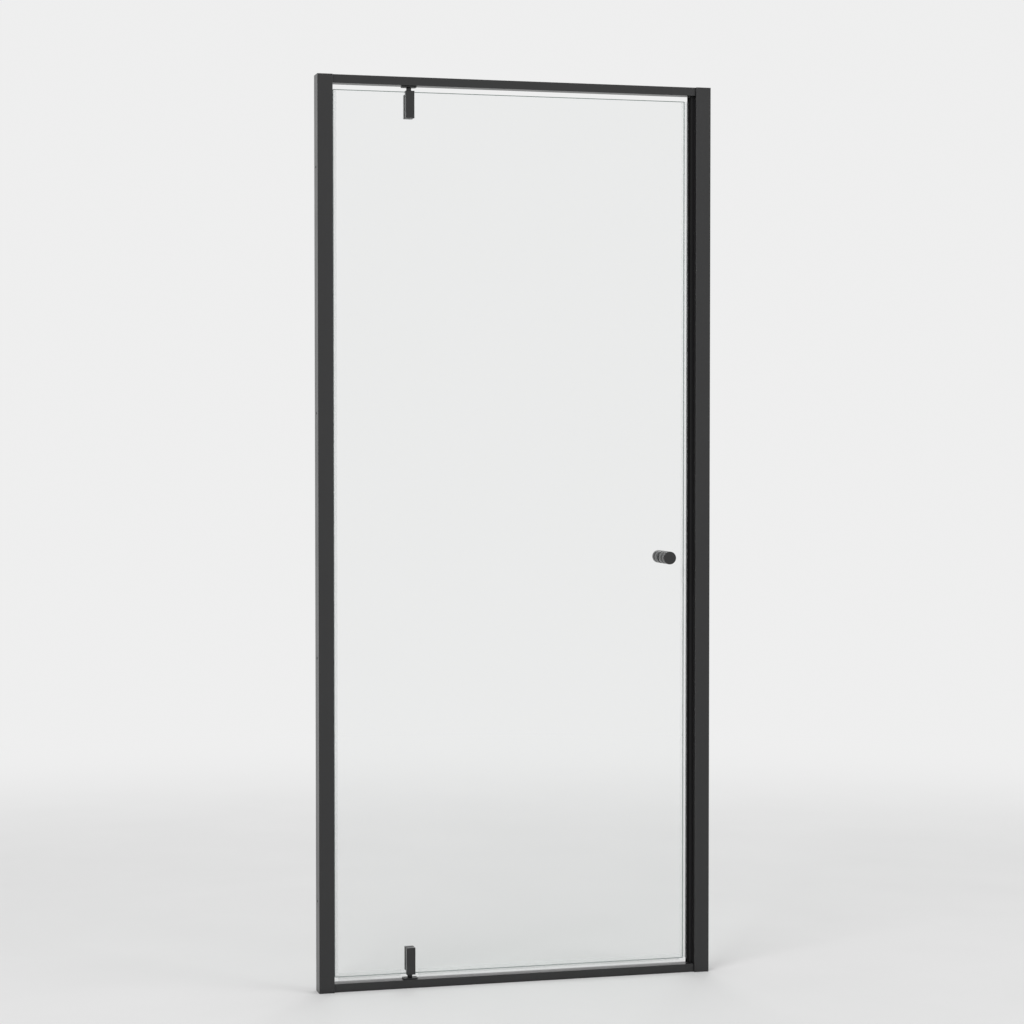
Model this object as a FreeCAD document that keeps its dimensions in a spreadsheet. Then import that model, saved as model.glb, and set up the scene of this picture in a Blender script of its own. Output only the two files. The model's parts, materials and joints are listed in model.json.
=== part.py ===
import FreeCAD, Part
import math
import os
import re
import Sketcher

# A pivot shower door for a niche, in millimetres.
#
# X runs along the opening, with 0 at its middle. Y runs through the door: the middle of
# the glass is at 0, the room in front of it is -Y and the shower behind it is +Y.
# Z is up, with 0 at the underside of the frame.
#
# The frame is screwed to both walls. The leaf turns on two pins, near its left edge:
# its long side swings out to -Y while its short side swings in to +Y.

doc = FreeCAD.newDocument("pivot_shower_door")


# ---------------------------------------------------------------- sizes

SIZES = (
    # frame
    ("overall_width", 875, "from wall to wall"),
    ("overall_height", 1950, "from the floor to the top of the jambs"),
    ("frame_depth", 38, "front to back over the wall channels"),
    # wall channels
    ("jamb_face", 33, "width of a wall channel seen from the front"),
    ("channel_wall", 1.8, "wall of the channel extrusion"),
    ("channel_edge_radius", 1.5, "rounding of the channel's two free edges"),
    ("wall_hole_diameter", 6, "hole for a wall screw"),
    ("wall_hole_spacing", 520, "from one wall hole to the next"),
    # jamb profiles that slide in the channels
    ("slide_gap", 0.3, "play between jamb profile and channel, each side"),
    ("jamb_run", 24, "how far a jamb profile reaches into its channel"),
    ("jamb_wall", 1.4, "wall of the jamb profile"),
    ("jamb_setback", 0.5, "jamb profile behind the channel's free edges"),
    ("access_gap", 1, "driver's hole beyond a screw head, all round"),
    # screws that lock the jambs in the channels
    ("jamb_screw_margin", 150, "outer screws from the jamb's ends"),
    ("jamb_screw_diameter", 3.5, "thread"),
    ("jamb_screw_head", 8, "diameter of the pan head"),
    ("jamb_screw_head_height", 2.4, "height of the pan head"),
    ("jamb_screw_length", 8, "under the head"),
    ("screw_cap_diameter", 12, "snap cap over the head"),
    ("screw_cap_wall", 0.8, "thickness of the snap cap"),
    ("screw_cap_gap", 0.3, "between cap and head"),
    # plugs over the tops of the jambs
    ("cap_thickness", 1.5, "plate of the plug"),
    ("cap_plug_depth", 8, "how far the plug reaches into the jamb profile"),
    ("cap_fit", 0.2, "play of the plug, each side"),
    # rails
    ("rail_depth", 28, "front to back"),
    ("rail_height", 18, "of the top rail and of the threshold"),
    ("rail_wall", 1.6, "wall of the rail extrusion"),
    ("rail_edge_radius", 0.6, "rounding of the rail's long edges"),
    ("rail_end_gap", 0.2, "between a rail's end and the jamb"),
    ("port_diameter", 7, "screw port inside the rail"),
    ("port_bite", 0.5, "how far a port runs into the rail's wall"),
    ("corner_screw_diameter", 3.8, "thread"),
    ("corner_screw_head", 7, "diameter of the head"),
    ("corner_screw_head_height", 2.4, "height of the head"),
    ("corner_screw_length", 24, "under the head"),
    # strike profile on the right jamb, against which the leaf closes
    ("strike_leg", 8.6, "from the jamb to the profile's tip"),
    ("strike_front", 4.4, "from the middle of the glass to the front of the profile"),
    ("strike_wall", 1.3, "wall of the profile"),
    ("strike_edge_radius", 0.4, "rounding of the two front edges"),
    ("strike_end_gap", 0.3, "between the profile's ends and the rails"),
    ("stop_reach", 4.5, "stop rib beyond the profile's tip"),
    ("stop_thickness", 1.4, "of the stop rib"),
    ("stop_gap", 0.5, "between the closed leaf's seal and the rib"),
    ("strike_screw_margin", 120, "outer screws from the jamb's ends"),
    ("strike_screw_diameter", 3.5, "thread"),
    ("strike_screw_head", 6.5, "diameter of the head"),
    ("strike_screw_head_height", 2.2, "height of the head"),
    ("strike_screw_length", 5, "under the head"),
    # magnetic strips
    ("magnet_width", 8, "front to back"),
    ("magnet_thickness", 2.2, "along the opening"),
    ("magnet_gap", 0.7, "between the two strips when the leaf is closed"),
    ("magnet_end_gap", 1.5, "strip shorter than its profile, each end"),
    # glass
    ("glass_thickness", 6, "toughened glass"),
    ("glass_gap", 12, "between the glass and each rail"),
    ("hinge_gap", 3, "between the short edge and the channel's free edges"),
    ("strike_gap", 21.5, "between the long edge and the channel's free edges"),
    ("glass_corner_radius", 2, "the four corners"),
    ("notch_radius", 3, "inner corners of the two notches"),
    ("glass_arris", 0.5, "ground edges"),
    # pivots
    ("pivot_inset", 201, "from the left wall to the pivot axis"),
    ("journal_diameter", 8, "part of the pin that turns in the bush"),
    ("journal_length", 13, "beyond the neck"),
    ("neck_diameter", 10.6, "part of the pin that shows"),
    ("stub_diameter", 6, "part of the pin held in the clamp"),
    ("stub_length", 11.5, "held in the clamp"),
    ("stub_end_gap", 0.5, "hole deeper than the stub"),
    ("pin_chamfer", 0.6, "both ends of the pin"),
    ("running_clearance", 0.05, "between pin and bore, on the radius"),
    ("shoulder_gap", 0.1, "between the neck and the bush"),
    # bushes
    ("flange_width", 32, "along the rail"),
    ("flange_depth", 20, "across the rail"),
    ("flange_thickness", 3, "of the bush's flange"),
    ("flange_radius", 4, "corners of the flange"),
    ("sleeve_diameter", 11, "of the bush inside the rail"),
    ("sleeve_length", 12, "of the bush inside the rail"),
    ("sleeve_fit", 0.2, "between the sleeve and the rail, on the radius"),
    ("bush_screw_spacing", 23, "between a bush's two screws"),
    ("bush_screw_diameter", 3.5, "thread"),
    ("bush_screw_head", 6, "diameter of the head"),
    ("bush_screw_head_height", 1.8, "height of the head"),
    ("bush_screw_length", 7, "under the head"),
    ("screw_recess", 0.2, "top of a sunk head below the surface"),
    ("screw_clearance", 0.1, "between a screw and its hole, on the radius"),
    # clamps
    ("clamp_width", 19, "along the leaf"),
    ("clamp_height", 58, "of the front plate"),
    ("clamp_depth", 29, "over both plates"),
    ("clamp_over", 1, "front plate beyond the edge of the glass"),
    ("clamp_chamfer", 0.8, "outer edges of the plates"),
    ("back_drop", 7.5, "back plate shorter than the front plate, at the pin"),
    ("boss_width", 12, "block of the front plate that fills the notch"),
    ("boss_height", 20, "from the end of the plate"),
    ("notch_clearance", 1, "between the block and the glass"),
    ("seat_gap", 0.1, "between the block and the back plate"),
    ("gasket_thickness", 1, "rubber sheet between plate and glass"),
    ("gasket_margin", 0.5, "sheet inside the plate's edges"),
    ("clamp_screw_diameter", 5, "thread"),
    ("clamp_screw_head", 8.5, "diameter of the socket head"),
    ("clamp_screw_head_height", 5, "height of the socket head"),
    ("clamp_screw_bite", 7, "thread inside the front plate"),
    ("socket_across", 4, "hexagon, across its flats"),
    ("socket_depth", 2.5, "of the hexagon"),
    ("boss_screw_inset", 15, "upper screw from the edge of the glass"),
    ("glass_screw_inset", 42, "lower screw from the edge of the glass"),
    ("clamp_hole_diameter", 10, "hole in the glass"),
    ("sleeve_play", 0.1, "between a nylon sleeve and its hole, on the radius"),
    # seals on the leaf
    ("seal_wall", 1, "of the clear seals"),
    ("seal_fit", 0.05, "between a seal and the glass"),
    ("seal_lip", 0.6, "lips that hold the magnetic strip"),
    ("closing_seal_cover", 6.5, "over the long edge of the glass"),
    ("pivot_seal_cover", 8, "over the short edge of the glass"),
    ("fin_thickness", 0.9, "soft fins"),
    ("fin_gap", 0.3, "between the side fin and the channel's free edges"),
    ("drip_seal_cover", 9, "over the lower edge of the glass"),
    ("drip_gap", 1, "between the drip fin and the threshold"),
    ("drip_end_gap", 0.5, "between the drip seals and their neighbours"),
    ("deflector_reach", 5, "drip edge that throws water inwards"),
    ("deflector_drop", 5, "fall of that edge"),
    # knobs
    ("knob_inset", 45, "from the long edge of the glass"),
    ("knob_height", 920, "above the floor"),
    ("knob_diameter", 28, "of both knobs"),
    ("knob_length", 38.5, "of each knob"),
    ("knob_chamfer", 1, "outer rim"),
    ("groove_setback", 15.5, "from the knob's end to its groove"),
    ("groove_width", 2, "of the groove"),
    ("groove_depth", 1, "of the groove"),
    ("washer_diameter", 24, "between knob and glass"),
    ("washer_thickness", 1, "between knob and glass"),
    ("knob_hole_diameter", 12, "hole in the glass"),
    ("stud_diameter", 8, "stud that joins the knobs"),
    ("stud_hold", 14, "stud inside each knob"),
    ("stud_end_gap", 1, "bore deeper than the stud"),
)

# What follows from the sizes: places and shared limits.
PLACES = (
    ("half_width", "overall_width / 2"),
    ("half_depth", "frame_depth / 2"),
    ("half_glass", "glass_thickness / 2"),
    ("half_magnet", "magnet_width / 2"),
    # along the opening
    ("mouth_x", "half_width - jamb_face"),
    ("jamb_x", "mouth_x + jamb_setback"),
    ("lock_screw_x", "jamb_x + jamb_run / 2"),
    ("rail_end_x", "jamb_x - rail_end_gap"),
    ("pivot_x", "pivot_inset - half_width"),
    ("glass_left", "hinge_gap - mouth_x"),
    ("glass_right", "mouth_x - strike_gap"),
    ("knob_x", "glass_right - knob_inset"),
    ("strike_tip_x", "jamb_x - strike_leg"),
    ("fixed_magnet_x", "strike_tip_x - magnet_thickness"),
    ("leaf_tip_x", "fixed_magnet_x - magnet_gap"),
    ("leaf_magnet_x", "leaf_tip_x - magnet_thickness"),
    # through the door
    ("jamb_half_depth", "half_depth - channel_wall - slide_gap"),
    ("jamb_half_cavity", "jamb_half_depth - jamb_wall"),
    ("port_y", "rail_depth / 2 - rail_wall - port_diameter / 2 + port_bite"),
    ("plate_y", "half_glass + gasket_thickness"),
    ("seal_y", "half_glass + seal_fit + seal_wall"),
    ("stop_y", "half_magnet + seal_lip + stop_gap"),
    ("stop_back_y", "stop_y + stop_thickness"),
    ("strike_screw_y", "(stop_back_y - strike_front) / 2"),
    ("knob_seat_y", "half_glass + washer_thickness"),
    # up the door
    ("jamb_top", "overall_height - cap_thickness"),
    ("header_z", "overall_height - rail_height"),
    ("low_port_z", "rail_height / 2"),
    ("high_port_z", "overall_height - rail_height / 2"),
    ("glass_bottom", "rail_height + glass_gap"),
    ("glass_top", "header_z - glass_gap"),
    ("strike_bottom", "rail_height + strike_end_gap"),
    ("strike_top", "header_z - strike_end_gap"),
    # shared limits
    ("neck_end", "glass_gap - flange_thickness - shoulder_gap"),
    ("flange_sweep", "sqrt((flange_width / 2)^2 + (flange_depth / 2)^2)"),
    ("drip_start", "flange_sweep + drip_end_gap"),
    ("notch_half_width", "boss_width / 2 + notch_clearance"),
    ("notch_depth", "boss_height - clamp_over + notch_clearance"),
    ("clamp_foot", "clamp_over - clamp_height"),
)

sheet = doc.addObject("Spreadsheet::Sheet", "Sizes")
for row, (alias, size, meaning) in enumerate(SIZES, start=1):
    sheet.set(f"A{row}", meaning)
    sheet.set(f"B{row}", str(size))
    sheet.setAlias(f"B{row}", alias)
doc.recompute()

OWNER = {alias: "Sizes" for alias, size, meaning in SIZES}
OWNER.update({name: "Places" for name, formula in PLACES})


def spelled_out(expression):
    """Name the object that holds each value in an expression."""
    return re.sub(
        r"[a-z_]+",
        lambda word: f"{OWNER[word[0]]}.{word[0]}" if word[0] in OWNER else word[0],
        str(expression),
    )


def bind(thing, path, expression):
    """Tie a property to the sizes."""
    thing.setExpression(path, spelled_out(expression))


places = doc.addObject("App::VarSet", "Places")
for name, formula in PLACES:
    places.addProperty("App::PropertyFloat", name, "Places")
    bind(places, name, formula)
doc.recompute()


def size(name):
    """The present value of a size or a place."""
    return getattr(sheet if OWNER[name] == "Sizes" else places, name)


# ---------------------------------------------------------------- outlines

def pin_point(sketch, geometry, end, across, up):
    """Fix one point of a sketch at a pair of expressions, from the sketch's origin."""
    spot = sketch.getPoint(geometry, end)
    for kind, axis, place, now in (
        ("DistanceX", -2, across, spot.x),
        ("DistanceY", -1, up, spot.y),
    ):
        if place == "0":
            sketch.addConstraint(Sketcher.Constraint("PointOnObject", geometry, end, axis))
            continue
        number = sketch.addConstraint(
            Sketcher.Constraint(kind, -1, 1, geometry, end, now))
        bind(sketch, f"Constraints[{number}]", place)


def polygon(*corners):
    """A closed outline through corners, each a pair of expressions."""
    def draw(sketch):
        count = len(corners)
        first = sketch.GeometryCount
        start = [
            FreeCAD.Vector(math.cos(math.tau * i / count), math.sin(math.tau * i / count))
            for i in range(count)
        ]
        for i in range(count):
            sketch.addGeometry(Part.LineSegment(start[i], start[(i + 1) % count]), False)
        for i in range(count):
            following = first + (i + 1) % count
            sketch.addConstraint(
                Sketcher.Constraint("Coincident", first + i, 2, following, 1))
        for i, (across, up) in enumerate(corners):
            pin_point(sketch, first + i, 1, across, up)
    return draw


def rectangle(left, low, right, high):
    """A rectangle between two corners."""
    return polygon((left, low), (right, low), (right, high), (left, high))


def circle(across, up, diameter):
    """A circle round a point."""
    def draw(sketch):
        round_line = Part.Circle(FreeCAD.Vector(1, 1, 0), FreeCAD.Vector(0, 0, 1), 1)
        geometry = sketch.addGeometry(round_line, False)
        pin_point(sketch, geometry, 3, across, up)
        number = sketch.addConstraint(Sketcher.Constraint("Diameter", geometry, 2.0))
        bind(sketch, f"Constraints[{number}]", diameter)
    return draw


def hexagon(across, up, flats):
    """A hexagon round a point, with two corners level with it."""
    corners = []
    for i in range(6):
        angle = math.radians(60 * i)
        reach = 1 / math.sqrt(3)
        corners.append((
            f"{across} + {math.cos(angle) * reach:.9f} * {flats}",
            f"{up} + {math.sin(angle) * reach:.9f} * {flats}",
        ))
    return polygon(*corners)


# ---------------------------------------------------------------- pieces

pieces = []


def new_piece(name, at=("0", "0", "0"), turned=None):
    """Start a piece: its place is three expressions, its turn an axis for half a turn."""
    body = doc.addObject("PartDesign::Body", name)
    body.Label = name
    if turned:
        body.Placement = FreeCAD.Placement(
            FreeCAD.Vector(), FreeCAD.Rotation(FreeCAD.Vector(*turned), 180))
    for axis, place in zip("xyz", at):
        bind(body, f"Placement.Base.{axis}", place)
    pieces.append(body)
    return body


def sketch_across(body, axis, position, shapes):
    """Draw outlines on the plane that stands across an axis at a position on it."""
    role, sign = {"x": ("YZ_Plane", ""), "y": ("XZ_Plane", "-"), "z": ("XY_Plane", "")}[axis]
    plane = next(part for part in body.Origin.OriginFeatures if part.Role == role)
    sketch = body.newObject("Sketcher::SketchObject", f"{body.Name}_outline")
    sketch.AttachmentSupport = [(plane, "")]
    sketch.MapMode = "FlatFace"
    bind(sketch, "AttachmentOffset.Base.z", f"{sign}({position})")
    for draw in shapes:
        draw(sketch)
    sketch.Visibility = False
    return sketch


def volume_of(body):
    """The body's volume now, 0 before its first feature."""
    return 0 if body.Shape.isNull() else body.Shape.Volume


def add(body, axis, start, end, *shapes):
    """Pad outlines from one position to another along an axis."""
    before = volume_of(body)
    # The XZ plane's normal is -Y, so a pad across y grows from its far end.
    position = end if axis == "y" else start
    pad = body.newObject("PartDesign::Pad", f"{body.Name}_pad")
    pad.Profile = sketch_across(body, axis, position, shapes)
    bind(pad, "Length", f"({end}) - ({start})")
    doc.recompute()
    if volume_of(body) <= before:
        raise ValueError(f"{body.Label}: a pad added nothing")


def cut(body, axis, start, end, *shapes):
    """Pocket outlines from one position to another along an axis."""
    before = volume_of(body)
    position = start if axis == "y" else end
    pocket = body.newObject("PartDesign::Pocket", f"{body.Name}_pocket")
    pocket.Profile = sketch_across(body, axis, position, shapes)
    bind(pocket, "Length", f"({end}) - ({start})")
    doc.recompute()
    if volume_of(body) >= before:
        raise ValueError(f"{body.Label}: a pocket cut nothing")


def dress(body, kind, radius, wanted):
    """Round or chamfer the edges that a test picks out of the body."""
    base = body.Tip
    names = [f"Edge{i}" for i, edge in enumerate(base.Shape.Edges, start=1) if wanted(edge)]
    if not names:
        raise ValueError(f"{body.Label}: no edge to dress")
    feature = body.newObject(f"PartDesign::{kind}", f"{body.Name}_{kind.lower()}")
    feature.Base = (base, names)
    bind(feature, "Radius" if kind == "Fillet" else "Size", radius)
    doc.recompute()


def near(one, other):
    return abs(one - other) < 1e-4


def runs_along(edge, axis):
    """Whether a straight edge runs along an axis."""
    box = edge.BoundBox
    spans = {"x": box.XLength, "y": box.YLength, "z": box.ZLength}
    return spans[axis] > 1e-4 and all(near(spans[other], 0) for other in spans if other != axis)


def both_sides(value):
    return f"-({value})", value


# ---------------------------------------------------------------- wall channels

def wall_holes():
    """Four evenly spaced holes up the middle of the web, as drawn across x."""
    return [
        circle("0", f"overall_height / 2 + {steps} * wall_hole_spacing", "wall_hole_diameter")
        for steps in (-1.5, -0.5, 0.5, 1.5)
    ]


def lock_screw_heights():
    return "jamb_screw_margin", "overall_height / 2", "overall_height - jamb_screw_margin"


def make_wall_channel(name, side):
    """U-shaped extrusion with its web on the wall at local x 0 and its mouth inwards."""
    turned = (0, 0, 1) if side > 0 else None
    body = new_piece(name, (f"{side} * half_width", "0", "0"), turned)
    add(body, "z", "0", "overall_height", polygon(
        ("0", "-half_depth"),
        ("jamb_face", "-half_depth"),
        ("jamb_face", "channel_wall - half_depth"),
        ("channel_wall", "channel_wall - half_depth"),
        ("channel_wall", "half_depth - channel_wall"),
        ("jamb_face", "half_depth - channel_wall"),
        ("jamb_face", "half_depth"),
        ("0", "half_depth"),
    ))
    cut(body, "x", "0", "channel_wall", *wall_holes())
    # the leg on the shower's side takes the lock screws
    leg = ("half_depth - channel_wall", "half_depth")
    if side > 0:
        leg = ("-half_depth", "channel_wall - half_depth")
    cut(body, "y", *leg, *[
        circle("half_width - lock_screw_x", height, "jamb_screw_diameter + 2 * screw_clearance")
        for height in lock_screw_heights()
    ])
    mouth = size("jamb_face")
    outside = size("half_depth")
    dress(body, "Fillet", "channel_edge_radius", lambda edge: (
        runs_along(edge, "z")
        and near(edge.BoundBox.XMax, mouth)
        and near(abs(edge.BoundBox.YMax), outside)))


# ---------------------------------------------------------------- jamb profiles

def corner_spots():
    """Where the corner screws go through a jamb, as drawn across x."""
    return [(y, z) for y in both_sides("port_y") for z in ("low_port_z", "high_port_z")]


def strike_screw_heights():
    return "strike_screw_margin", "overall_height / 2", "overall_height - strike_screw_margin"


def make_jamb_profile(name, side):
    """Hollow box extrusion with its inner face at local x 0 and the wall at +x."""
    turned = (0, 0, 1) if side < 0 else None
    body = new_piece(name, (f"{side} * jamb_x", "0", "0"), turned)
    add(body, "z", "0", "jamb_top",
        rectangle("0", "-jamb_half_depth", "jamb_run", "jamb_half_depth"))
    cut(body, "z", "0", "jamb_top",
        rectangle("jamb_wall", "-jamb_half_cavity", "jamb_run - jamb_wall", "jamb_half_cavity"))

    # screws into the rails, and the holes through which a driver reaches them
    screws = [(y, z, "corner_screw_diameter", "corner_screw_head") for y, z in corner_spots()]
    if side > 0:
        screws += [
            ("strike_screw_y", z, "strike_screw_diameter", "strike_screw_head")
            for z in strike_screw_heights()
        ]
    cut(body, "x", "0", "jamb_wall", *[
        circle(y, z, f"{thread} + 2 * screw_clearance") for y, z, thread, head in screws])
    cut(body, "x", "jamb_run - jamb_wall", "jamb_run", *[
        circle(y, z, f"{head} + 2 * access_gap") for y, z, thread, head in screws])

    # lock screws through the wall on the shower's side
    wall = ("jamb_half_cavity", "jamb_half_depth")
    if side < 0:
        wall = ("-jamb_half_depth", "-jamb_half_cavity")
    cut(body, "y", *wall, *[
        circle("jamb_run / 2", height, "jamb_screw_diameter + 2 * screw_clearance")
        for height in lock_screw_heights()
    ])


def make_corner_screws():
    """Eight screws from inside the jambs into the rails' screw ports."""
    body = new_piece("corner_screws")
    heads = [circle(y, z, "corner_screw_head") for y, z in corner_spots()]
    shanks = [circle(y, z, "corner_screw_diameter") for y, z in corner_spots()]
    seat = "jamb_x + jamb_wall"
    add(body, "x", f"-({seat} + corner_screw_head_height)", f"-({seat})", *heads)
    add(body, "x", f"-({seat})", f"corner_screw_length - ({seat})", *shanks)
    add(body, "x", seat, f"{seat} + corner_screw_head_height", *heads)
    add(body, "x", f"{seat} - corner_screw_length", seat, *shanks)


def lock_screw_circles(diameter):
    return [
        circle(x, z, diameter) for x in both_sides("lock_screw_x") for z in lock_screw_heights()]


def make_jamb_screws():
    """Six pan-head screws through the channels into the jambs, on the shower's side."""
    body = new_piece("jamb_screws")
    add(body, "y", "half_depth", "half_depth + jamb_screw_head_height",
        *lock_screw_circles("jamb_screw_head"))
    add(body, "y", "half_depth - jamb_screw_length", "half_depth",
        *lock_screw_circles("jamb_screw_diameter"))


def make_screw_caps():
    """Six round caps that snap over the pan heads."""
    body = new_piece("screw_caps")
    room = "jamb_screw_head_height + screw_cap_gap"
    top = f"half_depth + {room} + screw_cap_wall"
    add(body, "y", "half_depth", top, *lock_screw_circles("screw_cap_diameter"))
    cut(body, "y", "half_depth", f"half_depth + {room}",
        *lock_screw_circles("jamb_screw_head + 2 * screw_cap_gap"))
    outer_rim = size("screw_cap_diameter") / 2
    dress(body, "Fillet", "screw_cap_wall", lambda edge: (
        edge.Curve.TypeId == "Part::GeomCircle"
        and near(edge.Curve.Radius, outer_rim)
        and edge.BoundBox.YMin > size("half_depth") + 1e-4))


def make_channel_cap(name, side):
    """Plastic plug that closes the top of a channel and of the jamb in it."""
    turned = (0, 0, 1) if side < 0 else None
    body = new_piece(name, (f"{side} * jamb_x", "0", "0"), turned)
    plate_half = "half_depth - channel_wall - cap_fit"
    add(body, "z", "jamb_top", "overall_height", rectangle(
        "0", f"-({plate_half})", "half_width - jamb_x - channel_wall - cap_fit", plate_half))
    # the plug stays behind the heads of the corner screws
    plug_half = "jamb_half_cavity - cap_fit"
    add(body, "z", "jamb_top - cap_plug_depth", "jamb_top", rectangle(
        "jamb_wall + corner_screw_head_height + access_gap", f"-({plug_half})",
        "jamb_run - jamb_wall - cap_fit", plug_half))


# ---------------------------------------------------------------- rails and bushes

def bush_screw_spots():
    """A bush's two screws, from the pivot axis, as drawn across z."""
    return [(x, "0") for x in both_sides("bush_screw_spacing / 2")]


def make_rail(name, at, turned):
    """Hollow extrusion with two screw ports; local z 0 is its outer face, +z the leaf."""
    body = new_piece(name, at, turned)
    ends = both_sides("rail_end_x")
    add(body, "x", *ends, rectangle("-rail_depth / 2", "0", "rail_depth / 2", "rail_height"))
    cut(body, "x", *ends, rectangle(
        "rail_wall - rail_depth / 2", "rail_wall",
        "rail_depth / 2 - rail_wall", "rail_height - rail_wall"))
    for port in both_sides("port_y"):
        add(body, "x", *ends, circle(port, "low_port_z", "port_diameter"))
        cut(body, "x", *ends,
            circle(port, "low_port_z", "corner_screw_diameter + 2 * screw_clearance"))
    # the bush's sleeve and its screws
    cut(body, "z", "rail_height - sleeve_length - sleeve_fit", "rail_height",
        circle("pivot_x", "0", "sleeve_diameter + 2 * sleeve_fit"))
    cut(body, "z", "rail_height - rail_wall", "rail_height", *[
        circle(f"pivot_x + {x}", y, "bush_screw_diameter + 2 * screw_clearance")
        for x, y in bush_screw_spots()
    ])
    front = size("rail_depth") / 2
    height = size("rail_height")
    dress(body, "Fillet", "rail_edge_radius", lambda edge: (
        runs_along(edge, "x")
        and near(abs(edge.BoundBox.YMax), front)
        and (near(edge.BoundBox.ZMax, 0) or near(edge.BoundBox.ZMax, height))))


def make_pivot_bush(name, at, turned):
    """Flanged plastic bush; local z 0 is the rail's face, +z the leaf."""
    body = new_piece(name, at, turned)
    add(body, "z", "0", "flange_thickness", rectangle(
        "-flange_width / 2", "-flange_depth / 2", "flange_width / 2", "flange_depth / 2"))
    half = size("flange_width") / 2
    dress(body, "Fillet", "flange_radius", lambda edge: (
        runs_along(edge, "z") and near(abs(edge.BoundBox.XMax), half)))
    add(body, "z", "-sleeve_length", "0", circle("0", "0", "sleeve_diameter"))
    cut(body, "z", "-sleeve_length", "flange_thickness",
        circle("0", "0", "journal_diameter + 2 * running_clearance"))
    seat = "flange_thickness - bush_screw_head_height - screw_recess"
    cut(body, "z", seat, "flange_thickness", *[
        circle(x, y, "bush_screw_head + 2 * screw_clearance") for x, y in bush_screw_spots()])
    cut(body, "z", "0", seat, *[
        circle(x, y, "bush_screw_diameter + 2 * screw_clearance")
        for x, y in bush_screw_spots()
    ])


def make_bush_screws():
    """Four screws that hold the bushes, two in each rail."""
    body = new_piece("bush_screws")
    heads = [circle(f"pivot_x + {x}", y, "bush_screw_head") for x, y in bush_screw_spots()]
    shanks = [circle(f"pivot_x + {x}", y, "bush_screw_diameter") for x, y in bush_screw_spots()]
    seat = "flange_thickness - bush_screw_head_height - screw_recess"
    low = f"rail_height + {seat}"
    high = f"header_z - ({seat})"
    add(body, "z", low, f"{low} + bush_screw_head_height", *heads)
    add(body, "z", f"{low} - bush_screw_length", low, *shanks)
    add(body, "z", f"{high} - bush_screw_head_height", high, *heads)
    add(body, "z", high, f"{high} + bush_screw_length", *shanks)


# ---------------------------------------------------------------- strike side

def make_strike_profile():
    """L-shaped extrusion on the right jamb: a hollow leg, and the rib behind the leaf."""
    body = new_piece("strike_profile")
    tip = "strike_tip_x"
    rib = "strike_tip_x - stop_reach"
    add(body, "z", "strike_bottom", "strike_top", polygon(
        ("jamb_x", "-strike_front"),
        (tip, "-strike_front"),
        (tip, "stop_y"),
        (rib, "stop_y"),
        (rib, "stop_back_y"),
        ("jamb_x", "stop_back_y"),
    ))
    cut(body, "z", "strike_bottom", "strike_top", rectangle(
        f"{tip} + strike_wall", "strike_wall - strike_front",
        "jamb_x - strike_wall", "stop_back_y - strike_wall"))
    cut(body, "x", "jamb_x - strike_wall", "jamb_x", *[
        circle("strike_screw_y", z, "strike_screw_diameter + 2 * screw_clearance")
        for z in strike_screw_heights()
    ])
    front = -size("strike_front")
    dress(body, "Fillet", "strike_edge_radius", lambda edge: (
        runs_along(edge, "z") and near(edge.BoundBox.YMin, front)))


def make_strike_screws():
    """Three screws from inside the right jamb into the strike profile."""
    body = new_piece("strike_screws")
    seat = "jamb_x + jamb_wall"
    add(body, "x", seat, f"{seat} + strike_screw_head_height", *[
        circle("strike_screw_y", z, "strike_screw_head") for z in strike_screw_heights()])
    add(body, "x", f"{seat} - strike_screw_length", seat, *[
        circle("strike_screw_y", z, "strike_screw_diameter") for z in strike_screw_heights()])


def make_strike_magnet():
    """Black magnetic strip on the tip of the strike profile."""
    body = new_piece("strike_magnet")
    add(body, "z", "strike_bottom + magnet_end_gap", "strike_top - magnet_end_gap", rectangle(
        "fixed_magnet_x", "-half_magnet", "strike_tip_x", "half_magnet"))


def make_closing_magnet():
    """Black magnetic strip at the long edge of the leaf."""
    body = new_piece("closing_magnet")
    add(body, "z", "glass_bottom", "glass_top", rectangle(
        "leaf_magnet_x", "-half_magnet", "leaf_tip_x", "half_magnet"))


def make_closing_seal():
    """Clear seal: grips the glass, bridges the gap with a hollow and holds the strip."""
    body = new_piece("closing_seal")
    grip = "glass_right - closing_seal_cover"
    back = "leaf_magnet_x - seal_wall"
    slot = "half_glass + seal_fit"
    lip = "half_magnet + seal_lip"
    pocket = "half_magnet + seal_fit"
    add(body, "z", "glass_bottom", "glass_top", polygon(
        (grip, "-seal_y"),
        (back, "-seal_y"),
        (back, f"-({lip})"),
        ("leaf_tip_x", f"-({lip})"),
        ("leaf_tip_x", f"-({pocket})"),
        ("leaf_magnet_x", f"-({pocket})"),
        ("leaf_magnet_x", pocket),
        ("leaf_tip_x", pocket),
        ("leaf_tip_x", lip),
        (back, lip),
        (back, "seal_y"),
        (grip, "seal_y"),
        (grip, slot),
        ("glass_right + seal_fit", slot),
        ("glass_right + seal_fit", f"-({slot})"),
        (grip, f"-({slot})"),
    ))
    cut(body, "z", "glass_bottom", "glass_top", rectangle(
        "glass_right + seal_fit + seal_wall", "seal_wall - seal_y", back, "seal_y - seal_wall"))


# ---------------------------------------------------------------- glass

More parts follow.
